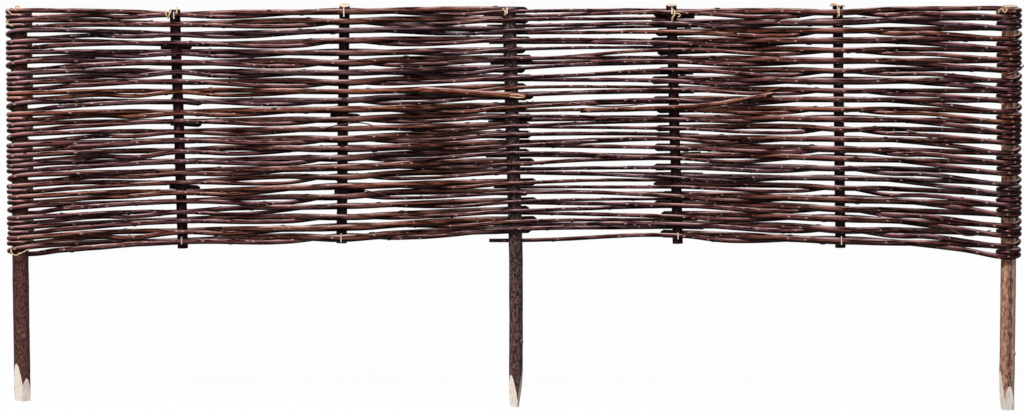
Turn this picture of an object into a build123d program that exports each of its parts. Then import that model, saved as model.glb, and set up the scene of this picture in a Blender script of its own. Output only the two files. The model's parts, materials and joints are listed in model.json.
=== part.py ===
from build123d import *
from dataclasses import dataclass
import math
import os

# Willow lawn edging: 24 rows of willow rods woven round seven uprights.
# The origin is on the centre peg's axis at ground level. X runs along the
# panel, the front faces -Y, and Z is up. All sizes are in millimetres.

# Uprights, numbered 0 to 6 from the left. Each has its place at mid height, or
# at its foot where it has a peg, its radius, and the heights of its ends.
post_x = [-487.6, -330.5, -169.8, 0.0, 155.9, 317.1, 484.9]
post_radius = [8.0, 5.2, 5.2, 6.8, 5.1, 5.1, 7.5]
post_head_z = [245.0, 245.0, 251.0, 246.5, 250.5, 249.0, 249.5]
post_foot_z = [-141.0, 10.5, 15.5, -147.0, 15.0, 11.0, -150.0]

# How far the foot of an upright without a peg stands to the right of its head.
post_lean = {1: 6.0, 2: -4.0, 4: 7.6, 5: 4.8}
lean_height = 240.0

# The three pegs are straight from just above the ground line down to the cuts
# of their points. Each grows out of a stake that leans and is a little thicker,
# and that ends level above the peg. A cut has its direction round the peg in
# degrees, its upper end, and the half width that it leaves.
peg_top_z = 0.5
peg_in_stake = 2.0
peg_thinner = 0.35
peg_head_shift = {0: 1.5, 3: -8.8, 6: -2.6}
peg_cuts = {
    0: [(215, -103.0, 3.6), (335, -118.0, 5.2), (95, -108.0, 4.2)],
    3: [(196, -110.0, 2.2), (318, -114.0, 2.4), (75, -112.0, 2.6)],
    6: [(208, -112.0, 3.6), (325, -124.0, 4.0), (90, -116.0, 3.4)],
}

# Rows: height of the highest and the lowest one at each upright. Between them
# the rows crowd at some uprights: the first value lifts the middle rows, and
# the second lifts the upper ones and lowers the lower ones.
rows = 24
top_row_z = [240.5, 237.0, 241.0, 241.5, 239.0, 241.0, 241.5]
low_row_z = [7.5, 14.5, 19.5, 25.5, 21.5, 16.5, 7.0]
row_crowding = {1: (2.0, 0.8), 2: (0.0, -1.6), 3: (0.0, -0.8), 5: (2.0, -1.0)}
row_waver = 0.25
loose_row_waver = 0.4

# One rod tapers from its butt to the wrap round the end peg and on to its tip.
butt_radius = 3.5
wrap_radius = 2.35
tip_radius = 1.65
rod_sides = 6
rod_gap = 0.25
butt_beyond_post = 18.0
tip_beyond_post = 24.0
end_varies = 4.0
tip_bend_before_post = 21.0
tip_stands_out = 7.4

# Where the two halves of a rod cross between uprights, the thin half dips
# under the thick one. The crossings of neighbouring rows stand apart.
thick_above_row = 2.3
crossing_stagger = 36.0
crossing_dip = 5.9
shared_dip = 4.4
thin_rise = 2.5

# The wrap round an end peg in sixths of a turn: how far it has come down
# after each sixth, as a share of the distance between rows.
full_wrap = (0.0, 0.08, 0.17, 0.25, 0.27, 0.42, 0.5, 0.58, 0.67, 0.75)
half_wrap = (0.0, 0.25, 0.5, 0.75)
wrap_start_share = 0.375
half_wrap_rows = {0: (2, 5, 9, 12, 16, 19, 23), 6: (2, 6, 9, 13, 16, 20, 22)}

# The lowest right tip has slipped down under the edge of the weave.
slipped_tip_drop = 7.0

# Wire staples over the highest and the lowest rod hold the weave on.
wire = 1.1
staple_leg = 5.0
staple_slack = 0.15
stapled_top_posts = (1, 2, 3, 4, 5)
stapled_low_posts = (1, 2, 4, 5)


def post_centre(post, z):
    """Place along X of an upright's axis at a height."""
    if post in peg_head_shift:
        rise = max(0.0, z - peg_top_z) / (post_head_z[post] - peg_top_z)
        return post_x[post] + peg_head_shift[post] * rise
    return post_x[post] + post_lean[post] * (0.5 - z / lean_height)


def waver(post, row):
    """Unevenness of a row's height. The wraps round the end pegs hold it small."""
    size = row_waver if post in half_wrap_rows else loose_row_waver
    return size * math.sin(0.9 * row + 2.3 * post)


def crowding(post, row):
    """How far a row stands above its even place at an upright."""
    middle_lift, spread = row_crowding.get(post, (0.0, 0.0))
    way_down = math.pi * row / (rows - 1)
    return middle_lift * math.sin(way_down) + spread * math.sin(2 * way_down)


def row_pitch(post):
    """Distance between rows at an upright."""
    return (top_row_z[post] - low_row_z[post]) / (rows - 1)


def thick_z(post, row):
    """Height of a rod's thick half at an upright."""
    z = top_row_z[post] - row * row_pitch(post) + crowding(post, row) + waver(post, row)
    if post in half_wrap_rows:
        return z + wrap_start_share * row_pitch(post)
    return z + thick_above_row


def crossing(span, row):
    """Place along X where the halves cross between uprights span and span + 1."""
    middle = (post_x[span] + post_x[span + 1]) / 2
    return middle + crossing_stagger * crossing_side(span, row)


def crossing_side(span, row):
    """1 where a row crosses right of the middle of a span, and -1 left of it."""
    return 1 if (row + span) % 2 == 0 else -1


def blend(start, end, share):
    return start + (end - start) * share


@dataclass
class Station:
    """One section of a rod: its centre, its radius and where the rod heads."""

    x: float
    y: float
    z: float
    radius: float
    heading: float


def section_corners(at):
    """Corners of an upright polygon across the rod."""
    centre = Vector(at.x, at.y, at.z)
    inward = Vector(math.sin(at.heading), -math.cos(at.heading), 0)
    corners = []
    for n in range(rod_sides):
        turn = 2 * math.pi * n / rod_sides
        up = Vector(0, 0, at.radius * math.sin(turn))
        corners.append(centre + inward * (at.radius * math.cos(turn)) + up)
    return corners


def skin(near, far, turned):
    """Flat faces between two sections. Where the rod turns, each side is two triangles."""
    faces = []
    for n in range(rod_sides):
        a, b, c, d = near[n - 1], near[n], far[n], far[n - 1]
        outlines = [(a, b, c), (a, c, d)] if turned else [(a, b, c, d)]
        faces += [Face(Wire.make_polygon(outline)) for outline in outlines]
    return faces


def rod_solid(stations):
    """A tapered rod through its stations, closed by a flat cut at each end."""
    sections = [section_corners(at) for at in stations]
    faces = [Face(Wire.make_polygon(sections[0][::-1])), Face(Wire.make_polygon(sections[-1]))]
    for n in range(len(stations) - 1):
        turned = abs(stations[n].heading - stations[n + 1].heading) > 0.001
        faces += skin(sections[n], sections[n + 1], turned)
    return Solid(Shell(faces))


class Rod:
    """One rod of a row. Its butt is behind a post in the middle of the panel,
    it weaves out to an end peg, goes round it, and weaves back past its butt."""

    def __init__(self, row, end_post, butt_post, tip_post):
        self.row = row
        self.end_post = end_post
        self.butt_post = butt_post
        self.tip_post = tip_post
        self.outward = 1 if end_post > butt_post else -1
        self.posts = {p: post_centre(p, thick_z(p, row)) for p in range(len(post_x))}
        self.end_x = self.posts[end_post]
        self.end_varies = end_varies * math.sin(2.9 * row + end_post)

    def radius(self, x, thick):
        """Radius at a place along the panel, on the way out or back."""
        last = self.butt_post if thick else self.tip_post
        share = (x - self.end_x) / (self.posts[last] - self.end_x)
        return blend(wrap_radius, butt_radius if thick else tip_radius, share)

    def side(self, post, thick):
        """1 where a half passes behind an upright, and -1 in front of it."""
        behind = (post - self.butt_post) % 2 == 0
        return 1 if behind == thick else -1

    def offset(self, post, thick):
        """Place along Y of a half beside an upright."""
        radius = self.radius(self.posts[post], thick)
        return self.side(post, thick) * (post_radius[post] + rod_gap + radius)

    def station(self, x, y, z, thick, heading):
        return Station(x, y, z, self.radius(x, thick), heading)

    def thick_height(self, span, x):
        """Height of the thick half at any place between two uprights."""
        left, right = self.posts[span], self.posts[span + 1]
        share = (x - left) / (right - left)
        return blend(thick_z(span, self.row), thick_z(span + 1, self.row), share)

    def way_out(self, heading):
        """Thick half, from the butt to the last crossing before the end peg."""
        first_span = min(self.butt_post, self.butt_post + self.outward)
        cross_x = crossing(first_span, self.row)
        post = self.butt_post
        butt_x = self.posts[post] - self.outward * (butt_beyond_post + self.end_varies)
        slope = self.offset(post, True) / (self.posts[post] - cross_x)
        way = [self.station(butt_x, slope * (butt_x - cross_x), thick_z(post, self.row), True, heading)]
        while post != self.end_post:
            span = min(post, post + self.outward)
            x = crossing(span, self.row)
            way.append(self.station(x, 0.0, self.thick_height(span, x), True, heading))
            post += self.outward
            if post != self.end_post:
                z = thick_z(post, self.row)
                way.append(self.station(self.posts[post], self.offset(post, True), z, True, heading))
        return way

    def wrap(self):
        """Half a turn or a turn and a half round the end peg, going down."""
        is_half = self.row in half_wrap_rows[self.end_post]
        drops = half_wrap if is_half else full_wrap
        start_z = thick_z(self.end_post, self.row)
        sixth = math.pi / 3
        reach = (post_radius[self.end_post] + rod_gap + wrap_radius) / math.cos(sixth / 2)
        start_angle = self.side(self.end_post, True) * math.pi / 2
        way = []
        for n, drop in enumerate(drops):
            angle = start_angle - n * sixth
            z = start_z - drop * row_pitch(self.end_post)
            x = self.end_x + reach * math.cos(angle)
            way.append(Station(x, reach * math.sin(angle), z, wrap_radius, angle - math.pi / 2))
        return way

    def way_back(self, start):
        """Thin half, from the end peg to the tip. It dips under the thick half at
        each crossing, and rises where the next row's thick half has to pass."""
        heading = start.heading
        way = []
        post = self.end_post
        while post != self.tip_post + self.outward:
            inner = post - self.outward
            span = min(post, inner)
            x = crossing(span, self.row)
            side = crossing_side(span, self.row)
            if post == self.end_post and side != self.outward:
                middle = (post_x[post] + post_x[inner]) / 2
                y = start.y * (middle - x) / (start.x - x)
                z = self.thick_height(span, middle) - shared_dip
                way.append(self.station(middle, y, z, False, heading))
            way.append(self.station(x, 0.0, self.thick_height(span, x) - crossing_dip, False, heading))
            rise = thin_rise if side == self.outward else 0.0
            z = thick_z(inner, self.row) + rise
            way.append(self.station(self.posts[inner], self.offset(inner, False), z, False, heading))
            post = inner
        return way + self.tip(heading)

    def tip(self, heading):
        """The tip springs out behind the next post, between the butts there."""
        post = self.tip_post
        outside = post_radius[post] + rod_gap + butt_radius + tip_stands_out
        half_pitch = row_pitch(post) / 2
        z = thick_z(post, self.row) - self.outward * half_pitch
        if self.outward > 0 and self.row == rows - 1:
            z -= slipped_tip_drop
        bend_x = self.posts[post] + self.outward * tip_bend_before_post
        end_x = self.posts[post] - self.outward * (tip_beyond_post - self.end_varies)
        return [self.station(x, outside, z, False, heading) for x in (bend_x, end_x)]

    def stations(self):
        wrap = self.wrap()
        return self.way_out(wrap[0].heading) + wrap + self.way_back(wrap[-1])


def left_rod(row):
    return Rod(row, end_post=0, butt_post=3, tip_post=4)


def right_rod(row):
    return Rod(row, end_post=6, butt_post=4, tip_post=3)


def stick(foot, head, radius):
    """A straight round stick between the centres of its ends."""
    axis = head - foot
    upright = Cylinder(radius, axis.length, align=(Align.CENTER, Align.CENTER, Align.MIN))
    return Plane(origin=foot, x_dir=(0, 1, 0), z_dir=axis) * upright


def short_upright(post):
    """An upright that ends with the weave and has no peg."""
    ends = [Vector(post_centre(post, z), 0, z) for z in (post_foot_z[post], post_head_z[post])]
    return stick(*ends, post_radius[post])


def hewn(peg, post, direction, cut_z, half_width):
    """The peg with one slanting cut taken off its foot."""
    angle = math.radians(direction)
    outward = Vector(math.cos(angle), math.sin(angle), 0)
    radius = post_radius[post] - peg_thinner
    down = outward * (half_width - radius) + Vector(0, 0, post_foot_z[post] - cut_z)
    sideways = Vector(-math.sin(angle), math.cos(angle), 0)
    surface = Vector(post_x[post], 0, cut_z) + outward * radius
    cut = Plane(origin=surface, x_dir=sideways, z_dir=down.cross(sideways))
    return split(peg, bisect_by=cut, keep=Keep.BOTTOM)


def peg_stake(post):
    """A stake with a peg below ground level and a hewn point."""
    ends = [Vector(post_x[post], 0, z) for z in (post_foot_z[post], peg_top_z + peg_in_stake)]
    peg = stick(*ends, post_radius[post] - peg_thinner)
    for direction, cut_z, half_width in peg_cuts[post]:
        peg = hewn(peg, post, direction, cut_z, half_width)
    foot, head = [Vector(post_centre(post, z), 0, z) for z in (peg_top_z, post_head_z[post])]
    lower = foot - (head - foot).normalized() * peg_in_stake
    stake = stick(lower, head, post_radius[post])
    return peg + split(stake, bisect_by=Plane.XY.offset(peg_top_z), keep=Keep.TOP)


def front_station(post, stations):
    """The rod's section in front of an upright."""
    beside = [s for s in stations if s.y < 0]
    return min(beside, key=lambda s: abs(s.x - post_centre(post, s.z)))


def staple_over(station):
    """A wire staple straddling a rod, its two legs driven into the upright."""
    half = station.radius + staple_slack
    front = station.y - half - wire
    back = station.y + station.radius + staple_leg
    outline = Polyline(
        (front, -half - wire),
        (back, -half - wire),
        (back, -half),
        (front + wire, -half),
        (front + wire, half),
        (back, half),
        (back, half + wire),
        (front, half + wire),
        close=True,
    )
    side_view = Plane(origin=(station.x, 0, station.z), x_dir=(0, 1, 0), z_dir=(1, 0, 0))
    return extrude(side_view * make_face(outline), amount=wire / 2, both=True)


def main():
    os.makedirs("parts", exist_ok=True)
    rods = {}
    for row in range(rows):
        rods["left_rod_%02d" % (row + 1)] = left_rod(row).stations()
        rods["right_rod_%02d" % (row + 1)] = right_rod(row).stations()

    staples = []
    for row, posts in ((1, stapled_top_posts), (rows, stapled_low_posts)):
        for post in posts:
            side = "left" if post < 4 else "right"
            stations = rods["%s_rod_%02d" % (side, row)]
            staples.append(staple_over(front_station(post, stations)))

    nodes = {
        "left_peg_stake": peg_stake(0),
        "upright_1": short_upright(1),
        "upright_2": short_upright(2),
        "centre_peg_stake": peg_stake(3),
        "upright_3": short_upright(4),
        "upright_4": short_upright(5),
        "right_peg_stake": peg_stake(6),
    }
    for name in nodes:
        nodes[name] = nodes[name] - staples
    for name, stations in rods.items():
        nodes[name] = rod_solid(stations)
    nodes["staples"] = Compound(children=staples)

    for name, shape in nodes.items():
        shape.label = name
        export_step(shape, "parts/%s.step" % name)


main()
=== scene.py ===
import json
import math
import random
from dataclasses import dataclass

import bmesh
import bpy
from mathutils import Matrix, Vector


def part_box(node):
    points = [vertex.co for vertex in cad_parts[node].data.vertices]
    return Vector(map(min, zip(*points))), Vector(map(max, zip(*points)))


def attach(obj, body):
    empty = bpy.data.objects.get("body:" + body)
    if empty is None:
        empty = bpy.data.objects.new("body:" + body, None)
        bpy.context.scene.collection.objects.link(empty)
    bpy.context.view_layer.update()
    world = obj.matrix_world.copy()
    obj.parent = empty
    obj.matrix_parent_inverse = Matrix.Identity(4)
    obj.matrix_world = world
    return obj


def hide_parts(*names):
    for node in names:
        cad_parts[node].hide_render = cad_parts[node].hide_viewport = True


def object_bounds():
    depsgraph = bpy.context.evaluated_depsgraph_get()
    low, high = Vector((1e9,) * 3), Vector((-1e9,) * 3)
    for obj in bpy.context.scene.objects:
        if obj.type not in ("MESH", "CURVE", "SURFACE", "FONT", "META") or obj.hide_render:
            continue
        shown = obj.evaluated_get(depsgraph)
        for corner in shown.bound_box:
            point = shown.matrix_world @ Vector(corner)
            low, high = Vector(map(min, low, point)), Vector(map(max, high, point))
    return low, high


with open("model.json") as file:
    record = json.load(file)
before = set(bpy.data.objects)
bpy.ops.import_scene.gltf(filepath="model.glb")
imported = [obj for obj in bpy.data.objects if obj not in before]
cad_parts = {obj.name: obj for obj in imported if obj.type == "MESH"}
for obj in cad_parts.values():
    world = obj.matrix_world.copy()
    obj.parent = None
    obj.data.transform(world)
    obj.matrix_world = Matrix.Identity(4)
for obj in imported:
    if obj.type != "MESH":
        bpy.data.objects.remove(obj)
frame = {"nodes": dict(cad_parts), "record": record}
cad_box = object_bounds()
mm = 0.001


# Camera. The panel is seen square on from a few degrees above, far enough away
# that both ends look alike. It fills a frame of 1024 by 413 pixels.
frame_width = 1024
panel_per_pixel = 0.983 * mm
look_at = Vector((-3.9 * mm, 0, 51.6 * mm))
camera_distance = 3.2
camera_elevation = math.radians(5)

camera = bpy.data.objects.new("camera", bpy.data.cameras.new("camera"))
bpy.context.scene.collection.objects.link(camera)
camera.data.sensor_width = 36
camera.data.lens = camera.data.sensor_width * camera_distance / (frame_width * panel_per_pixel)
away = Vector((0, -math.cos(camera_elevation), math.sin(camera_elevation)))
camera.location = look_at + away * camera_distance
camera.rotation_euler = away.to_track_quat("Z", "Y").to_euler()
bpy.context.scene.camera = camera
bpy.context.scene.view_settings.view_transform = "Standard"


# Floor and light. A white studio: a pale floor just under the points of the
# pegs, an even white room, and soft lamps above, in front and behind.
floor_gap = 0.6 * mm
floor_half_width = 30.0
floor_grey = "#6a6a6a"
floor_white_share = 0.85
floor_glow = 1.14
room_white = 1.0
room_light = 0.04


def linear(hex_code):
    """Linear colour of an sRGB hex value."""
    channels = [int(hex_code[n:n + 2], 16) / 255 for n in (1, 3, 5)]
    return [c / 12.92 if c <= 0.04045 else ((c + 0.055) / 1.055) ** 2.4 for c in channels] + [1.0]


def add(tree, kind, inputs=None, **settings):
    """A node with its settings. Each input is a value, another node or one of its outputs."""
    node = tree.nodes.new(kind)
    for name, value in settings.items():
        setattr(node, name, value)
    for key, value in (inputs or {}).items():
        named = [s for s in node.inputs if s.enabled and s.name == key]
        socket = node.inputs[key] if isinstance(key, int) else named[0]
        if isinstance(value, bpy.types.Node):
            value = next(s for s in value.outputs if s.enabled)
        if isinstance(value, bpy.types.NodeSocket):
            tree.links.new(value, socket)
        else:
            socket.default_value = value
    return node


def new_material(name):
    """An empty material and its node tree."""
    material = bpy.data.materials.new(name)
    material.use_nodes = True
    material.node_tree.nodes.clear()
    return material, material.node_tree


def seen_directly(tree):
    """1 for camera, mirror and glass rays, and 0 for rays that carry light."""
    rays = add(tree, "ShaderNodeLightPath").outputs
    mirrored = add(tree, "ShaderNodeMath", {0: rays["Is Camera Ray"], 1: rays["Is Glossy Ray"]},
                   operation="MAXIMUM")
    return add(tree, "ShaderNodeMath", {0: mirrored, 1: rays["Is Transmission Ray"]},
               operation="MAXIMUM")


world = bpy.data.worlds.new("white_room")
bpy.context.scene.world = world
world.use_nodes = True
world.node_tree.nodes.clear()
strength = add(world.node_tree, "ShaderNodeMapRange",
               {"Value": seen_directly(world.node_tree), "To Min": room_light, "To Max": room_white})
room = add(world.node_tree, "ShaderNodeBackground", {"Color": (1, 1, 1, 1), "Strength": strength})
add(world.node_tree, "ShaderNodeOutputWorld", {"Surface": room})

floor_paint, tree = new_material("white_floor_paint")
painted = add(tree, "ShaderNodeBsdfDiffuse", {"Color": linear(floor_grey)})
glowing = add(tree, "ShaderNodeEmission", {"Color": (1, 1, 1, 1), "Strength": floor_glow})
share = add(tree, "ShaderNodeMath", {0: seen_directly(tree), 1: floor_white_share}, operation="MULTIPLY")
mixed = add(tree, "ShaderNodeMixShader", {0: share, 1: painted, 2: glowing})
add(tree, "ShaderNodeOutputMaterial", {"Surface": mixed})

floor_z = cad_box[0].z - floor_gap
corners = [(x * floor_half_width, y * floor_half_width, floor_z)
           for x, y in ((-1, -1), (1, -1), (1, 1), (-1, 1))]
floor_mesh = bpy.data.meshes.new("floor")
floor_mesh.from_pydata(corners, [], [(0, 1, 2, 3)])
floor_mesh.materials.append(floor_paint)
floor = bpy.data.objects.new("floor", floor_mesh)
bpy.context.scene.collection.objects.link(floor)


def soft_lamp(name, place, width, depth, watts):
    """An oblong lamp that looks at the middle of the panel."""
    data = bpy.data.lights.new(name, "AREA")
    data.shape = "RECTANGLE"
    data.size, data.size_y = width, depth
    data.energy = watts
    lamp = bpy.data.objects.new(name, data)
    bpy.context.scene.collection.objects.link(lamp)
    lamp.location = place
    lamp.rotation_euler = (Vector(place) - look_at).to_track_quat("Z", "Y").to_euler()


soft_lamp("lamp_above_front", (-0.8, -1.45, 1.75), 1.4, 0.35, 86)
soft_lamp("lamp_front", (0.3, -2.6, 0.5), 1.0, 0.6, 27)
soft_lamp("lamp_behind", (0.5, 1.3, 1.1), 1.2, 0.6, 12)


# Uprights. Seven round willow stakes with their bark on. Three of them, at the
# ends and in the middle, run on below the weave as pegs with hewn points. The
# four short ones are sawn off at both ends and are held only by the weave.
stick_names = ("left_peg_stake", "upright_1", "upright_2", "centre_peg_stake",
               "upright_3", "upright_4", "right_peg_stake")
peg_mounts = {"left_peg_stake": "left_peg", "centre_peg_stake": "centre_peg", "right_peg_stake": "right_peg"}
ground_z = 0.5 * mm
flat_end_depth = 0.4 * mm


@dataclass
class Stick:
    """An upright's axis above ground, its radius, and how deep its peg goes."""

    name: str
    foot: Vector
    head: Vector
    radius: float
    point_z: float

    def x_at(self, z):
        share = (z - self.foot.z) / (self.head.z - self.foot.z)
        if self.point_z < 0:
            share = max(0.0, share)
        return self.foot.x + (self.head.x - self.foot.x) * share


def end_centre(node, z):
    """Middle of a node's flat end at a height."""
    rim = [v.co for v in frame["nodes"][node].data.vertices if abs(v.co.z - z) < flat_end_depth]
    return sum(rim, Vector()) / len(rim)


mount_places = {m["name"]: m["pos_m"] for m in frame["record"]["mounts"]}
sticks = []
for name in stick_names:
    low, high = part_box(name)
    if name in peg_mounts:
        foot = Vector((mount_places[peg_mounts[name]][0], 0, ground_z))
    else:
        foot = end_centre(name, low.z)
    sticks.append(Stick(name, foot, end_centre(name, high.z), (high.y - low.y) / 2, low.z))


# One tree grows every stick, rod and twig: it rings a path with uneven bark,
# keeps how far along and how far round each point is, and sets the buds. Willow
# buds sit two fifths of a turn on from each other, and none sits on a cut end.
noise_middle = 0.5
bud_turn = math.tau * 2 / 5
first_bud_after = 8 * mm
last_bud_share = 0.96
grower = bpy.data.node_groups.new("bark_covered_stick", "GeometryNodeTree")
sockets = {}
for label, kind in (("Path", "Geometry"), ("Ring spacing", "Float"), ("Sides", "Int"), ("Waver", "Float"),
                    ("Waver length", "Float"), ("Swelling", "Float"), ("Swelling length", "Float"),
                    ("Bud", "Object"), ("Bud spacing", "Float"), ("Bud share", "Float"), ("Tone", "Float"),
                    ("Seed", "Int"), ("Bark", "Material")):
    socket = grower.interface.new_socket(name=label, in_out="INPUT", socket_type="NodeSocket" + kind)
    sockets[label] = socket.identifier
grower.interface.new_socket(name="Stick", in_out="OUTPUT", socket_type="NodeSocketGeometry")
given = add(grower, "NodeGroupInput").outputs


def uneven(place, length, seed):
    """Noise whose bumps have a length, different for each seed."""
    scale = add(grower, "ShaderNodeMath", {0: 1.0, 1: length}, operation="DIVIDE")
    return add(grower, "ShaderNodeTexNoise", {"Vector": place, "W": seed, "Scale": scale, "Detail": 1.0},
               noise_dimensions="4D")


ringed = add(grower, "GeometryNodeResampleCurve", {"Curve": given["Path"], "Length": given["Ring spacing"]},
             mode="LENGTH")
here = add(grower, "GeometryNodeInputPosition")
sway = uneven(here, given["Waver length"], given["Seed"])
sway = add(grower, "ShaderNodeVectorMath", {0: sway.outputs["Color"], 1: [noise_middle] * 3},
           operation="SUBTRACT")
sway = add(grower, "ShaderNodeVectorMath", {0: sway, "Scale": given["Waver"]}, operation="SCALE")
swayed = add(grower, "GeometryNodeSetPosition", {"Geometry": ringed, "Offset": sway})
swell = uneven(here, given["Swelling length"], given["Seed"])
swell = add(grower, "ShaderNodeMath", {0: swell, 1: noise_middle}, operation="SUBTRACT")
swell = add(grower, "ShaderNodeMath", {0: swell, 1: given["Swelling"], 2: 1.0}, operation="MULTIPLY_ADD")
radius_here = add(grower, "GeometryNodeInputRadius")
swell = add(grower, "ShaderNodeMath", {0: swell, 1: radius_here}, operation="MULTIPLY")
swollen = add(grower, "GeometryNodeSetCurveRadius", {"Curve": swayed, "Radius": swell})

measured = add(grower, "GeometryNodeCaptureAttribute")
for label in ("Share", "Distance", "Thickness"):
    measured.capture_items.new("FLOAT", label)
along = add(grower, "GeometryNodeSplineParameter")
for source, label in ((along.outputs["Factor"], "Share"), (along.outputs["Length"], "Distance"),
                      (radius_here.outputs["Radius"], "Thickness")):
    grower.links.new(source, measured.inputs[label])
grower.links.new(swollen.outputs["Curve"], measured.inputs["Geometry"])
circle = add(grower, "GeometryNodeCurvePrimitiveCircle", {"Resolution": given["Sides"], "Radius": 1.0})
rounded = add(grower, "GeometryNodeCaptureAttribute")
rounded.capture_items.new("VECTOR", "Round")
grower.links.new(circle.outputs["Curve"], rounded.inputs["Geometry"])
grower.links.new(here.outputs["Position"], rounded.inputs["Round"])
skin = add(grower, "GeometryNodeCurveToMesh", {"Curve": measured.outputs["Geometry"],
           "Profile Curve": rounded.outputs["Geometry"], "Scale": radius_here, "Fill Caps": True})
sideways = add(grower, "ShaderNodeVectorMath", {0: rounded.outputs["Round"],
               "Scale": measured.outputs["Thickness"]}, operation="SCALE")
lengthways = add(grower, "ShaderNodeCombineXYZ", {"Z": measured.outputs["Distance"]})
straightened = add(grower, "ShaderNodeVectorMath", {0: sideways, 1: lengthways}, operation="ADD")
skin = add(grower, "GeometryNodeSetShadeSmooth", {"Geometry": skin})
for label, kind, value in (("bark_place", "FLOAT_VECTOR", straightened),
                           ("along", "FLOAT", measured.outputs["Share"]),
                           ("tone", "FLOAT", given["Tone"])):
    skin = add(grower, "GeometryNodeStoreNamedAttribute", {"Geometry": skin, "Name": label, "Value": value},
               data_type=kind)

bud_places = add(grower, "GeometryNodeCurveToPoints", {"Curve": measured.outputs["Geometry"],
                 "Length": given["Bud spacing"]}, mode="LENGTH")
ahead = add(grower, "FunctionNodeAxesToRotation", {"Primary Axis": bud_places.outputs["Tangent"],
            "Secondary Axis": bud_places.outputs["Normal"]}, primary_axis="Z", secondary_axis="X")
nth = add(grower, "GeometryNodeInputIndex")
turned = add(grower, "ShaderNodeMath", {0: nth, 1: bud_turn, 2: given["Seed"]}, operation="MULTIPLY_ADD")
turned = add(grower, "ShaderNodeCombineXYZ", {"Z": turned})
outward = add(grower, "FunctionNodeRotateRotation", {"Rotation": ahead, "Rotate By": turned},
              rotation_space="LOCAL")
grown = add(grower, "FunctionNodeRandomValue", {"Probability": given["Bud share"], "Seed": given["Seed"]},
            data_type="BOOLEAN")
after_start = add(grower, "ShaderNodeMath", {0: measured.outputs["Distance"], 1: first_bud_after},
                  operation="GREATER_THAN")
before_end = add(grower, "ShaderNodeMath", {0: measured.outputs["Share"], 1: last_bud_share},
                 operation="LESS_THAN")
grown = add(grower, "ShaderNodeMath", {0: grown, 1: after_start}, operation="MULTIPLY")
grown = add(grower, "ShaderNodeMath", {0: grown, 1: before_end}, operation="MULTIPLY")
bud = add(grower, "GeometryNodeObjectInfo", {"Object": given["Bud"]})
buds = add(grower, "GeometryNodeInstanceOnPoints",
           {"Points": bud_places.outputs["Points"], "Selection": grown, "Instance": bud.outputs["Geometry"],
            "Rotation": outward, "Scale": measured.outputs["Thickness"]})
buds = add(grower, "GeometryNodeRealizeInstances", {"Geometry": buds})
for label, kind, value in (("bud", "FLOAT", 1.0), ("tone", "FLOAT", given["Tone"])):
    buds = add(grower, "GeometryNodeStoreNamedAttribute", {"Geometry": buds, "Name": label, "Value": value},
               data_type=kind)
whole = add(grower, "GeometryNodeJoinGeometry")
for part in (buds, skin):
    grower.links.new(part.outputs["Geometry"], whole.inputs["Geometry"])
whole = add(grower, "GeometryNodeRealizeInstances", {"Geometry": whole})
whole = add(grower, "GeometryNodeSetMaterial", {"Geometry": whole, "Material": given["Bark"]})
add(grower, "NodeGroupOutput", {"Stick": whole})


bud_depth = 0.9


def bud_shape(name, length, width, stands_out):
    """A small scale half sunk in the bark of a stick of radius 1."""
    shape = bmesh.new()
    bmesh.ops.create_icosphere(shape, subdivisions=1, radius=1.0)
    for v in shape.verts:
        v.co = Vector((bud_depth + v.co.x * stands_out, v.co.y * width, v.co.z * length))
    mesh = bpy.data.meshes.new(name)
    shape.to_mesh(mesh)
    shape.free()
    for face in mesh.polygons:
        face.use_smooth = True
    return bpy.data.objects.new(name, mesh)


# A rod's sizes are the rule, and other sticks name what differs. Faces of bark
# and of buds have at most four corners, and only a stick's cut ends have more.
rod_sizes = {"Ring spacing": 3 * mm, "Sides": 10, "Waver": 2 * mm, "Waver length": 90 * mm, "Swelling": 0.25,
             "Swelling length": 24 * mm, "Bud spacing": 31 * mm, "Bud share": 0.7}
steps_per_bend = 24
bark_face_corners = 4


def grow(name, places, radii, bark, cut_wood, bud, seed, tone=0.0, bends=True, **sizes):
    """A plain mesh of bark round a path, with bare wood on its two cut ends."""
    path = bpy.data.curves.new(name, "CURVE")
    path.dimensions = "3D"
    path.resolution_u = steps_per_bend
    spline = path.splines.new("BEZIER")
    spline.bezier_points.add(len(places) - 1)
    for point, place, radius in zip(spline.bezier_points, places, radii):
        point.co = place
        point.radius = radius
        point.handle_left_type = point.handle_right_type = "AUTO" if bends else "VECTOR"
    drawn = bpy.data.objects.new(name, path)
    bpy.context.scene.collection.objects.link(drawn)
    growth = drawn.modifiers.new("growth", "NODES")
    growth.node_group = grower
    wanted = dict(rod_sizes)
    wanted.update({label.replace("_", " ").capitalize(): value for label, value in sizes.items()})
    wanted.update({"Bud": bud, "Tone": tone, "Seed": seed, "Bark": bark})
    for label, value in wanted.items():
        growth[sockets[label]] = value
    bpy.context.view_layer.update()
    mesh = bpy.data.meshes.new_from_object(drawn.evaluated_get(bpy.context.evaluated_depsgraph_get()))
    bpy.data.objects.remove(drawn)
    mesh.name = name
    mesh.materials.append(cut_wood)
    for face in mesh.polygons:
        if len(face.vertices) > bark_face_corners:
            face.material_index = len(mesh.materials) - 1
            face.use_smooth = False
    piece = bpy.data.objects.new(name, mesh)
    bpy.context.scene.collection.objects.link(piece)
    return piece


def layer(tree, under, over, value, ends=(0.0, 1.0), most=1.0, least=0.0):
    """A colour that covers another more and more while a value goes from end to end."""
    below, above = (linear(c) if isinstance(c, str) else c for c in (under, over))
    share = add(tree, "ShaderNodeMapRange", {"Value": value, "From Min": ends[0], "From Max": ends[1],
                                             "To Min": least, "To Max": most})
    return add(tree, "ShaderNodeMix", {"Factor": share, "A": below, "B": above}, data_type="RGBA")


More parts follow.
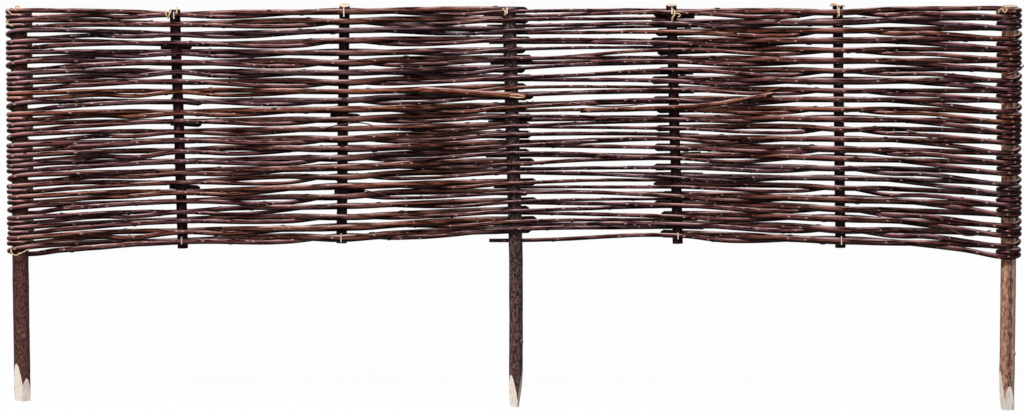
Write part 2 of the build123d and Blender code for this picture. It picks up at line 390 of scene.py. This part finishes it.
# Each shade of bark comes in between two values: of the grain, from 0 in a furrow
# to 1 on a ridge, of the share along the stick from its butt, of how far the bark
# faces up (1) or down (-1), or of the stick's own tone (-0.5 to 0.5). The shades set
# by how far the bark faces up or down are painted highlight and painted shade.
thin_along = (0.05, 0.5)
thin_share = 0.8
tone_share = 0.6
rusty_tone = (-0.3, -0.45)
greyed_tone = (0.25, 0.5)
tinted_share = 0.8
furrow_grain = (0.53, 0.42)
blotch_scale = 0.17
blotch_grain = (0.52, 0.3)
blotch_share = 0.7
strip_grain = 0.8
strip_side = (0.1, 0.4)
strip_share = 0.85
pale_side = (0.75, 0.95)
pale_share = 0.8
# Painted shade: the bark goes towards the furrow colour where it faces down.
painted_shade_facing = (0.05, -0.5)
painted_shade_share = 0.97
# Painted highlight: pale flakes, broken up by the grain, cover more of the bark where it faces up.
highlight_facing = (0.4, 0.95)
highlight_share = 0.85
flaked_grain = (0.46, 0.58)
flaked_share = 0.95
# Painted shade: the rim of a butt goes towards the furrow colour, for the shade behind the uprights.
butt_shade_along = (0.018, 0.032)
pore_rim = (0.06, 0.2)
pore_share = 0.6
pore_stretch = 0.45
pore_rise = 0.5
bud_paleness = 0.3


def bark_material(name, thick, thin, furrow, speck, grain_width, grain_length, speck_spacing, roughness,
                  rusty=None, greyed=None, side_flakes=0.05, contrast=0.9, butt_shade=0.0, strip=False):
    """Dry bark: a grain along the stick, pale breathing pores, and a satin skin whose sheen is a painted
    highlight where it faces up, with painted shade where it faces down.
    """
    material, tree = new_material(name)
    place = add(tree, "ShaderNodeAttribute", attribute_name="bark_place").outputs["Vector"]
    along, tone, bud = (add(tree, "ShaderNodeAttribute", attribute_name=label).outputs["Fac"]
                        for label in ("along", "tone", "bud"))
    facing = add(tree, "ShaderNodeSeparateXYZ", {0: add(tree, "ShaderNodeTexCoord").outputs["Normal"]})
    by_grain = add(tree, "ShaderNodeMapping",
                   {"Vector": place, "Scale": (1 / grain_width, 1 / grain_width, 1 / grain_length)})
    grain = add(tree, "ShaderNodeTexNoise",
                {"Vector": by_grain, "Scale": 1.0, "Detail": 4.0, "Roughness": 0.6})
    blotches = add(tree, "ShaderNodeTexNoise", {"Vector": by_grain, "Scale": blotch_scale, "Detail": 2.0})
    age = add(tree, "ShaderNodeMapRange",
              {"Value": along, "From Min": thin_along[0], "From Max": thin_along[1], "To Max": thin_share})
    age = add(tree, "ShaderNodeMath", {0: tone, 1: tone_share, 2: age},
              operation="MULTIPLY_ADD", use_clamp=True)
    colour = layer(tree, thick, thin, age)
    if rusty:
        colour = layer(tree, colour, rusty, tone, rusty_tone, tinted_share)
        colour = layer(tree, colour, greyed, tone, greyed_tone, tinted_share)
    colour = layer(tree, colour, furrow, grain, furrow_grain, contrast)
    colour = layer(tree, colour, furrow, blotches, blotch_grain, contrast * blotch_share)
    if strip:
        side = add(tree, "ShaderNodeMath", {0: grain, 1: strip_grain, 2: facing.outputs["X"]},
                   operation="MULTIPLY_ADD")
        colour = layer(tree, colour, furrow, side, strip_side, strip_share)
        colour = layer(tree, colour, speck, side, pale_side, pale_share)
    # Painted shade: dark where the bark faces down.
    colour = layer(tree, colour, furrow, facing.outputs["Z"], painted_shade_facing, painted_shade_share)
    # Painted highlight over real flakes: the flakes grow where the bark faces up, and on the sides only the
    # real flakes stay.
    flakes_and_highlight = add(tree, "ShaderNodeMapRange",
                   {"Value": facing.outputs["Z"], "From Min": highlight_facing[0],
                    "From Max": highlight_facing[1], "To Min": side_flakes, "To Max": highlight_share})
    flaked = add(tree, "ShaderNodeMapRange",
                 {"Value": grain, "From Min": flaked_grain[0], "From Max": flaked_grain[1],
                  "To Max": flaked_share})
    flakes_and_highlight = add(tree, "ShaderNodeMath", {0: flakes_and_highlight, 1: flaked}, operation="MULTIPLY")
    colour = layer(tree, colour, speck, flakes_and_highlight)
    by_pore = add(tree, "ShaderNodeMapping",
                  {"Vector": place,
                   "Scale": (1 / speck_spacing, 1 / speck_spacing, pore_stretch / speck_spacing)})
    pores = add(tree, "ShaderNodeTexVoronoi", {"Vector": by_pore, "Scale": 1.0, "Randomness": 1.0})
    pores = add(tree, "ShaderNodeMapRange",
                {"Value": pores.outputs["Distance"], "From Min": pore_rim[0], "From Max": pore_rim[1],
                 "To Min": pore_share, "To Max": 0.0})
    colour = layer(tree, colour, speck, pores)
    colour = layer(tree, colour, speck, bud, most=bud_paleness)
    # Painted shade at the rim of the butt.
    colour = layer(tree, colour, furrow, along, butt_shade_along, most=0.0, least=butt_shade)
    rise = add(tree, "ShaderNodeMath", {0: pores, 1: pore_rise, 2: grain}, operation="MULTIPLY_ADD")
    bump = add(tree, "ShaderNodeBump", {"Strength": 0.6, "Distance": 0.35 * mm, "Height": rise})
    shell = add(tree, "ShaderNodeBsdfPrincipled",
                {"Base Color": colour, "Roughness": roughness, "Specular IOR Level": 0.02, "Normal": bump})
    add(tree, "ShaderNodeOutputMaterial", {"Surface": shell})
    return material


fibre_grain = (0.52, 0.35)
# Painted shade: bare wood that faces up is painted greyer, to hold back the light from above.
top_shade_facing = (0.4, 0.8)
top_shade_share = 0.9


def cut_wood_material(name, sapwood, stained, top_shade, grain_width, grain_length, roughness):
    """Bare wood: pale sapwood with darker fibres, and painted shade where it faces up."""
    material, tree = new_material(name)
    place = add(tree, "ShaderNodeTexCoord").outputs["Object"]
    facing = add(tree, "ShaderNodeSeparateXYZ", {0: add(tree, "ShaderNodeTexCoord").outputs["Normal"]})
    by_grain = add(tree, "ShaderNodeMapping",
                   {"Vector": place, "Scale": (1 / grain_width, 1 / grain_width, 1 / grain_length)})
    grain = add(tree, "ShaderNodeTexNoise", {"Vector": by_grain, "Scale": 1.0, "Detail": 3.0})
    colour = layer(tree, sapwood, stained, grain, fibre_grain)
    # Painted shade on faces that look up.
    colour = layer(tree, colour, top_shade, facing.outputs["Z"], top_shade_facing, top_shade_share)
    bump = add(tree, "ShaderNodeBump", {"Strength": 0.4, "Distance": 0.3 * mm, "Height": grain})
    shell = add(tree, "ShaderNodeBsdfPrincipled",
                {"Base Color": colour, "Roughness": roughness, "Specular IOR Level": 0.18, "Normal": bump})
    add(tree, "ShaderNodeOutputMaterial", {"Surface": shell})
    return material


# Sawn or hewn willow is cream, matt and fibrous. It stains brown, and is painted
# greyer where it faces up, as painted shade against the light from above.
cut_willow = cut_wood_material("hewn_willow_wood", "#ede0d5", "#cfb59f", "#b9a28e", 1.4 * mm, 14 * mm, 0.75)

# Dried stake bark is dull and furrowed along the stick, and each stake has its own
# brown. The right one has a dark strip down its front and a pale strip to the right of it.
upright_barks = {
    "left_peg_stake": bark_material("dry_bark_dark_brown", "#4f322e", "#281413", "#2b1615", "#77564d",
                                    1.4 * mm, 2.4 * mm, 5 * mm, 0.55, side_flakes=0.4, contrast=0.5),
    "centre_peg_stake": bark_material("dry_bark_grey_brown", "#4f3a3a", "#1a0d0f", "#1d1214", "#8c726c",
                                      1.5 * mm, 3 * mm, 3.2 * mm, 0.55, side_flakes=0.3, contrast=0.7),
    "right_peg_stake": bark_material("dry_bark_tan", "#936650", "#936650", "#4f3325", "#d2b09e",
                                     1.8 * mm, 6 * mm, 5 * mm, 0.6, side_flakes=0.3, contrast=0.5,
                                     strip=True),
}
# The short uprights' bark is dark purple-brown, painted near black as painted shade, for the rods in front
# shade them.
short_upright_bark = bark_material("dry_bark_purple_brown", "#2b1416", "#2b1416", "#100506", "#5c3f3b",
                                   1.6 * mm, 8 * mm, 6 * mm, 0.5, side_flakes=0.12)

stake_knot = bud_shape("stake_knot", 0.55, 0.4, 0.28)
first_stake_seed = 60

# A peg's three hewn cuts each have a direction round it in degrees, the height
# where they start and the half width that they leave, both in millimetres. Three
# heads are sawn askew, and fall by this share of the way towards the front.
point_cuts = {
    "left_peg_stake": ((235, -103, 3.6), (312, -117, 5.0), (95, -108, 4.2)),
    "centre_peg_stake": ((222, -115, 2.2), (345, -110, 2.4), (75, -112, 2.6)),
    "right_peg_stake": ((195, -112, 3.6), (285, -124, 4.0), (90, -116, 3.4)),
}
saw_slant = {"upright_2": 0.35, "upright_3": 0.2, "right_peg_stake": 0.12}


def slice_off(piece, surface, away):
    """Takes off what lies beyond a plane and leaves bare wood."""
    shape = bmesh.new()
    shape.from_mesh(piece.data)
    whole = shape.verts[:] + shape.edges[:] + shape.faces[:]
    cut = bmesh.ops.bisect_plane(shape, geom=whole, plane_co=surface, plane_no=away, clear_outer=True)
    rim = [e for e in cut["geom_cut"] if isinstance(e, bmesh.types.BMEdge)]
    faces = bmesh.ops.edgeloop_fill(shape, edges=rim, mat_nr=len(piece.data.materials) - 1)["faces"]
    for face in faces:
        face.smooth = False
    bmesh.ops.recalc_face_normals(shape, faces=shape.faces)
    shape.to_mesh(piece.data)
    shape.free()


def hew(piece, stick, direction, cut_z, half_width):
    """One slanting stroke off the foot of a peg."""
    angle = math.radians(direction)
    outward = Vector((math.cos(angle), math.sin(angle), 0))
    sideways = Vector((-math.sin(angle), math.cos(angle), 0))
    down = outward * (half_width * mm - stick.radius) + Vector((0, 0, stick.point_z - cut_z * mm))
    surface = Vector((stick.foot.x, 0, cut_z * mm)) + outward * stick.radius
    away = sideways.cross(down).normalized()
    if away.dot(outward) < 0:
        away.negate()
    slice_off(piece, surface, away)


for n, stick in enumerate(sticks):
    places = [stick.foot, stick.head]
    if stick.point_z < 0:
        places.insert(0, Vector((stick.foot.x, 0, stick.point_z)))
    piece = grow(stick.name + "_bark", places, [stick.radius] * len(places),
                 upright_barks.get(stick.name, short_upright_bark), cut_willow, stake_knot,
                 seed=first_stake_seed + n, bends=False, ring_spacing=2.5 * mm, sides=26, waver=0.8 * mm,
                 swelling=0.10, bud_spacing=57 * mm, bud_share=0.7)
    for cut in point_cuts.get(stick.name, ()):
        hew(piece, stick, *cut)
    if stick.name in saw_slant:
        slant = saw_slant[stick.name]
        middle = stick.head - Vector((0, 0, slant * stick.radius))
        slice_off(piece, middle, Vector((0, -slant, 1)).normalized())
    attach(piece, "root")
    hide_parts(stick.name)


# Woven rods. 24 rows of two unpeeled willow rods each. A rod starts with its
# butt behind an upright near the middle, weaves out to an end stake, goes round
# it and weaves back above itself as a thin tip. Its length holds it in place.
rows = 24
top_row_z = [z * mm for z in (240.5, 237, 241, 241.5, 239, 241, 241.5)]
low_row_z = [z * mm for z in (7.5, 14.5, 19.5, 25.5, 21.5, 16.5, 7)]
row_crowding = {1: (2.0, 0.8), 2: (0.0, -1.6), 3: (0.0, -0.8), 5: (2.0, -1.0)}
row_waver = 0.25 * mm
loose_row_waver = 0.4 * mm
waver_per_row = 0.9
waver_per_post = 2.3
stoutness_range = (0.86, 1.12)
tone_range = (-0.5, 0.5)
butt_radius = 3.8 * mm
wrap_radius = 2.5 * mm
back_radius = 2.6 * mm
tip_radius = 1.8 * mm
butt_rounding = 3 * mm
butt_rounded_share = 0.5
rod_gap = 0.1 * mm
butt_beyond_post = 18 * mm
tip_beyond_post = 24 * mm
end_varies = 4 * mm
end_varies_per_row = 2.9
tip_bend_before_post = 21 * mm
tip_stands_out = 7.4 * mm
thick_above_row = 2.3 * mm
crossing_stagger = 30 * mm
crossing_slip = 10 * mm
height_slip = 0.5 * mm
crossing_rise = 1.2 * mm
crossing_dip = 3.5 * mm
crossing_y = 1.5 * mm
shared_dip = 2.8 * mm
thin_rise = 0.8 * mm
full_wrap = (0, 0.08, 0.17, 0.25, 0.27, 0.42, 0.5, 0.58, 0.67, 0.75)
half_wrap = (0, 0.25, 0.5, 0.75)
wrap_start_share = 0.375
wrap_step = math.pi / 3
half_wrap_rows = {0: (2, 5, 9, 12, 16, 19, 23), 6: (2, 6, 9, 13, 16, 20, 22)}
slipped_tip_drop = 7 * mm
tip_strays = 3.5 * mm
seeds = 1000
chance = random.Random(7)


def row_pitch(post):
    return (top_row_z[post] - low_row_z[post]) / (rows - 1)


def thick_z(post, row):
    """Height of a rod's thick half at an upright. The rows crowd at some of them."""
    middle_lift, spread = row_crowding.get(post, (0, 0))
    way_down = math.pi * row / (rows - 1)
    crowding = (middle_lift * math.sin(way_down) + spread * math.sin(2 * way_down)) * mm
    size = row_waver if post in half_wrap_rows else loose_row_waver
    waver = size * math.sin(waver_per_row * row + waver_per_post * post)
    z = top_row_z[post] - row * row_pitch(post) + crowding + waver
    return z + (wrap_start_share * row_pitch(post) if post in half_wrap_rows else thick_above_row)


def crossing_side(span, row):
    """1 where a row crosses right of the middle of a span, and -1 left of it."""
    return 1 if (row + span) % 2 == 0 else -1


class Rod:
    """One rod of a row, between the upright of its butt, an end stake and the upright of its tip."""

    def __init__(self, row, end_post, butt_post, tip_post):
        self.row, self.end_post, self.butt_post, self.tip_post = row, end_post, butt_post, tip_post
        self.outward = 1 if end_post > butt_post else -1
        self.posts = [stick.x_at(thick_z(p, row)) for p, stick in enumerate(sticks)]
        self.middles = [(a + b) / 2 for a, b in zip(self.posts, self.posts[1:])]
        self.end_varies = end_varies * math.sin(end_varies_per_row * row + end_post)
        self.stoutness = chance.uniform(*stoutness_range)
        self.slips = [chance.uniform(-crossing_slip, crossing_slip) for _ in self.middles]
        self.stations = []

    def crossing(self, span):
        return self.middles[span] + crossing_stagger * crossing_side(span, self.row) + self.slips[span]

    def radius(self, x, thick):
        if thick:
            last, near, far = self.butt_post, wrap_radius, butt_radius
        else:
            last, near, far = self.tip_post, back_radius, tip_radius
        end_x = self.posts[self.end_post]
        return self.stoutness * (near + (far - near) * (x - end_x) / (self.posts[last] - end_x))

    def side(self, post, thick):
        """1 where a half passes behind an upright, and -1 in front of it."""
        return 1 if ((post - self.butt_post) % 2 == 0) == thick else -1

    def offset(self, post, thick):
        return self.side(post, thick) * (sticks[post].radius + rod_gap + self.radius(self.posts[post], thick))

    def thick_height(self, span, x):
        share = (x - self.posts[span]) / (self.posts[span + 1] - self.posts[span])
        return thick_z(span, self.row) * (1 - share) + thick_z(span + 1, self.row) * share

    def passes(self, x, y, z, thick):
        self.stations.append((Vector((x, y, z + chance.gauss(0, height_slip))), self.radius(x, thick)))

    def go_out(self):
        span = min(self.butt_post, self.butt_post + self.outward)
        cross_x = self.crossing(span)
        slope = self.offset(self.butt_post, True) / (self.posts[self.butt_post] - cross_x)
        butt_x = self.posts[self.butt_post] - self.outward * (butt_beyond_post + self.end_varies)
        self.passes(butt_x, slope * (butt_x - cross_x), thick_z(self.butt_post, self.row), True)
        for post in range(self.butt_post, self.end_post, self.outward):
            span = min(post, post + self.outward)
            x = self.crossing(span)
            self.passes(x, crossing_y, self.thick_height(span, x) + crossing_rise, True)
            after = post + self.outward
            if after != self.end_post:
                self.passes(self.posts[after], self.offset(after, True), thick_z(after, self.row), True)

    def go_round(self):
        """Half a turn or a turn and a half round the end stake, going down."""
        post = self.end_post
        drops = half_wrap if self.row in half_wrap_rows[post] else full_wrap
        reach = sticks[post].radius + rod_gap + wrap_radius
        for n, drop in enumerate(drops):
            angle = self.side(post, True) * math.pi / 2 - n * wrap_step
            z = thick_z(post, self.row) - drop * row_pitch(post)
            place = Vector((self.posts[post] + reach * math.cos(angle), reach * math.sin(angle), z))
            self.stations.append((place, wrap_radius))

    def come_back(self):
        start = self.stations[-1][0]
        for post in range(self.end_post, self.tip_post + self.outward, -self.outward):
            inner = post - self.outward
            span = min(post, inner)
            x = self.crossing(span)
            crosses_outside = crossing_side(span, self.row) == self.outward
            if post == self.end_post and not crosses_outside:
                middle = self.middles[span]
                y = start.y * (middle - x) / (start.x - x)
                self.passes(middle, y, self.thick_height(span, middle) - shared_dip, False)
            self.passes(x, -crossing_y, self.thick_height(span, x) - crossing_dip, False)
            z = thick_z(inner, self.row) + (thin_rise if crosses_outside else 0)
            self.passes(self.posts[inner], self.offset(inner, False), z, False)

    def spring_out(self):
        """The tip springs out behind the last upright, between the butts there."""
        post = self.tip_post
        z = thick_z(post, self.row) - self.outward * row_pitch(post) / 2
        if self.outward > 0 and self.row == rows - 1:
            z -= slipped_tip_drop
        else:
            z += chance.uniform(-tip_strays, tip_strays)
        y = sticks[post].radius + rod_gap + butt_radius + tip_stands_out
        for beyond in (tip_bend_before_post, self.end_varies - tip_beyond_post):
            self.passes(self.posts[post] + self.outward * beyond, y, z, False)


def round_off(stations):
    """The rim of a thick cut end is worn round."""
    (end, radius), (following, _) = stations[:2]
    whole = end + (following - end).normalized() * butt_rounding
    return [(end, radius * butt_rounded_share), (whole, radius), *stations[1:]]


# Unpeeled willow dries to a satin skin, brown on the thick butt and maroon on the
# thin tip, rustier on some rods and greyer on others, with pale pores and a light
# scale at each bud. Its sheen is a painted highlight along the top of each rod, with
# painted shade along the underside, and the rim of each butt is painted almost black
# as painted shade.
willow_bark = bark_material("unpeeled_willow_bark", "#5f3123", "#4f2026", "#060101", "#cbacaa",
                            1.5 * mm, 26 * mm, 4 * mm, 0.36, rusty="#74391a", greyed="#423037",
                            butt_shade=0.9)
rod_bud = bud_shape("rod_bud", 1.1, 0.4, 0.34)
for row in range(rows):
    for side, posts in (("left", (0, 3, 4)), ("right", (6, 4, 3))):
        rod = Rod(row, *posts)
        rod.go_out()
        rod.go_round()
        rod.come_back()
        rod.spring_out()
        places, radii = zip(*round_off(rod.stations))
        name = "%s_rod_%02d" % (side, row + 1)
        piece = grow(name + "_bark", places, radii, willow_bark, cut_willow, rod_bud,
                     seed=chance.randrange(seeds), tone=chance.uniform(*tone_range))
        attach(piece, "root")
        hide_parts(name)


# Short butts. A few rods were pieced on behind the uprights, and their thick
# ends stick out beside them. They take the short uprights' near-black bark, a painted
# shade for where they lie behind the weave. Each is given by where it ends along and up, in millimetres.
short_butts = ((-319, 208.4), (-309, 152.4), (-310, 131.7), (-308, 95.4), (-312, 67.8),
               (-153, 138.6), (-149, 66))
short_butt_tilt = 3
short_butt_length = 30 * mm
short_butt_radius = 3.3 * mm
short_butt_y = 15 * mm
for n, (end_x, z) in enumerate(short_butts):
    end = Vector((end_x * mm, short_butt_y, z * mm))
    tilt = chance.uniform(-short_butt_tilt, short_butt_tilt) * mm
    start = end + Vector((-short_butt_length, 0, tilt))
    places, radii = zip(*round_off([(end, short_butt_radius), (start, short_butt_radius)]))
    piece = grow("short_butt_%d" % (n + 1), places, radii, short_upright_bark, cut_willow, rod_bud,
                 seed=chance.randrange(seeds), ring_spacing=1.5 * mm)
    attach(piece, "root")


# Side twigs. Thin dry side shoots and splinters were left on the rods, and some
# curl out of the weave. Each is named with its way in millimetres, its radius
# and its tone. The one that is thicker than a twig is a worn butt.
thickest_twig = 3
side_twigs = {
    "curled_twig_1": (((-305.7, -8, 95.4), (-296, -9, 97), (-286, -9, 96), (-279, -8, 93.4)), 0.5, 0.1),
    "curled_twig_2": (((-193, -9, 127.8), (-168, -13.5, 133.7), (-148, -12, 134.4), (-135.7, -8, 129.8)),
                      0.6, 0.1),
    "curled_twig_3": (((-150, -8, 68.5), (-136, -11, 66), (-124, -8, 62)), 0.8, 0.1),
    "curled_twig_4": (((50, -8, 155), (75, -11, 151.5), (100, -11, 151), (126, -8, 153)), 0.7, 0.3),
    "forked_twig": (((10.8, -8, 156), (11.8, -9, 151.6), (14.8, -9, 151.6), (16.7, -8, 156)), 0.55, 0.1),
    "crossing_twig": (((63, -6, 146.5), (100, -11, 147.5), (146, -13.5, 149.4), (191, -14, 152.4),
                       (220, -13, 157.3), (250, -8, 162)), 2.5, -0.5),
    "pale_splinter": (((222, -15.5, 157.5), (236, -16.5, 162), (253, -15.5, 168), (266, -13, 169.5)),
                      0.8, -0.5),
    "front_butt": (((12, -12.6, 160), (-5, -12.6, 161), (-50, -10, 164), (-96, -3, 166)), 3.8, -0.5),
    "hanging_twig": (((426, -8, 29), (444, -9, 23.4), (466, -8, 29)), 0.55, 0.1),
    "broken_twig": (((382, -8, 127), (394, -11, 124), (407, -12, 119.5)), 1.0, 0.1),
    "end_twig": (((480, -13, 182), (492, -17, 188), (498, -16, 196)), 0.6, 0.1),
}
for name, (way, radius, tone) in side_twigs.items():
    stations = [(Vector(place) * mm, radius * mm) for place in way]
    places, radii = zip(*(round_off(stations) if radius > thickest_twig else stations))
    piece = grow(name, places, radii, willow_bark, cut_willow, rod_bud,
                 seed=chance.randrange(seeds), tone=tone, ring_spacing=1.5 * mm, waver=1 * mm)
    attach(piece, "root")


# Binding strands. Split pale bast ties the highest and the lowest rod to the
# uprights. The ends are left long and have curled as they dried. It is matt, and
# straw-coloured with brown fibres, drawn coarser than real ones so that they show.
fibre_width = 0.5 * mm
fibre_length = 9 * mm
bast, tree = new_material("dry_bast")
place = add(tree, "ShaderNodeAttribute", attribute_name="bark_place").outputs["Vector"]
fibres = add(tree, "ShaderNodeMapping",
             {"Vector": place, "Scale": (1 / fibre_width, 1 / fibre_width, 1 / fibre_length)})
fibres = add(tree, "ShaderNodeTexNoise", {"Vector": fibres, "Scale": 1.0, "Detail": 3.0})
colour = layer(tree, "#e2c79c", "#8a5c34", fibres)
dry = add(tree, "ShaderNodeBsdfPrincipled", {"Base Color": colour, "Roughness": 0.7})
add(tree, "ShaderNodeOutputMaterial", {"Surface": dry})
strands = {
    "left_top_strand": (((-496.5, -11, 246.5), (-494, -13.6, 243.5), (-490, -14, 240)), 0.6),
    "left_top_curl": (((-487, -13, 244), (-486.5, -13.5, 248.5), (-483.8, -13, 247.8), (-484.5, -12.5, 245)),
                      0.7),
    "left_second_strand": (((-496.8, -11, 233.8), (-494, -13.6, 231), (-490, -14, 229.5)), 0.6),
    "upright_1_v_left": (((-342.3, -9, 244.8), (-340.6, -12, 239.5), (-339, -10, 236.6)), 0.65),
    "upright_1_v_right": (((-336, -10, 244.2), (-338, -12, 239.5), (-339, -10, 236.6)), 0.65),
    "upright_1_knot": (((-330.8, -8, 247.2), (-330.2, -12, 244.5), (-330.8, -12.2, 241.2)), 0.8),
    "centre_y_left": (((-13, -9, 246), (-10.5, -12.5, 242.8), (-10.8, -12.5, 239.6)), 0.6),
    "centre_y_right": (((-7.7, -9, 246.2), (-10.3, -12.5, 242.8), (-10.8, -12.3, 240)), 0.6),
    "front_butt_split_above": (((-6, -15.6, 162.4), (1, -16.3, 162.6), (8, -15.6, 161.6)), 0.6),
    "front_butt_split_below": (((-6, -16.2, 160.6), (1, -16.4, 159.6), (8, -16.2, 160.2)), 0.6),
    "upright_3_tie": (((153.8, -7, 245), (154.6, -11.5, 240.5), (152.6, -11.5, 237.5), (152.4, -9, 233.6)),
                      0.85),
    "upright_3_curl": (((154, -11, 241.4), (157.5, -12.5, 241.4), (160, -12.5, 239.6), (158, -11.5, 238)),
                       0.6),
    "upright_4_knot": (((306.7, -7, 249), (309.5, -9, 250.6), (313.4, -9, 249)), 1.2),
    "upright_4_string": (((313.8, -9, 249.4), (313.2, -13.2, 244.5), (314, -13.2, 241), (313.4, -10, 237.6)),
                         0.6),
    "upright_4_bit": (((315.5, -8, 248.4), (318, -9, 249.4), (320.5, -8, 247.8)), 0.7),
    "right_top_loop": (((470, -12, 242), (472.5, -14, 246), (475.5, -14.4, 242.6), (478.6, -13.4, 245.6)),
                       0.6),
    "left_foot_loop": (((-495.4, -11, 10.5), (-494, -13.6, 6.6), (-489.5, -14, 5), (-485.4, -13.6, 7.6)),
                       0.6),
    "left_foot_end": (((-486, -13.6, 6), (-481.5, -13.4, 8.8), (-476.6, -11, 10.6)), 0.6),
}
for name, (way, radius) in strands.items():
    places = [Vector(place) * mm for place in way]
    piece = grow(name, places, [radius * mm] * len(places), bast, bast, rod_bud, seed=chance.randrange(seeds),
                 sides=6, ring_spacing=0.8 * mm, waver=0.6 * mm, waver_length=6 * mm, bud_share=0.0)
    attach(piece, "root")


# Staples. Steel wire, bent square and driven into the uprights over the highest
# and the lowest rod. Drawn wire that has tarnished has a soft grey-brown shine.
staple_wire, tree = new_material("drawn_steel_wire")
metal = add(tree, "ShaderNodeBsdfPrincipled",
            {"Base Color": linear("#9c9184"), "Metallic": 1.0, "Roughness": 0.45})
add(tree, "ShaderNodeOutputMaterial", {"Surface": metal})
staples = frame["nodes"]["staples"]
staples.data.materials.clear()
staples.data.materials.append(staple_wire)
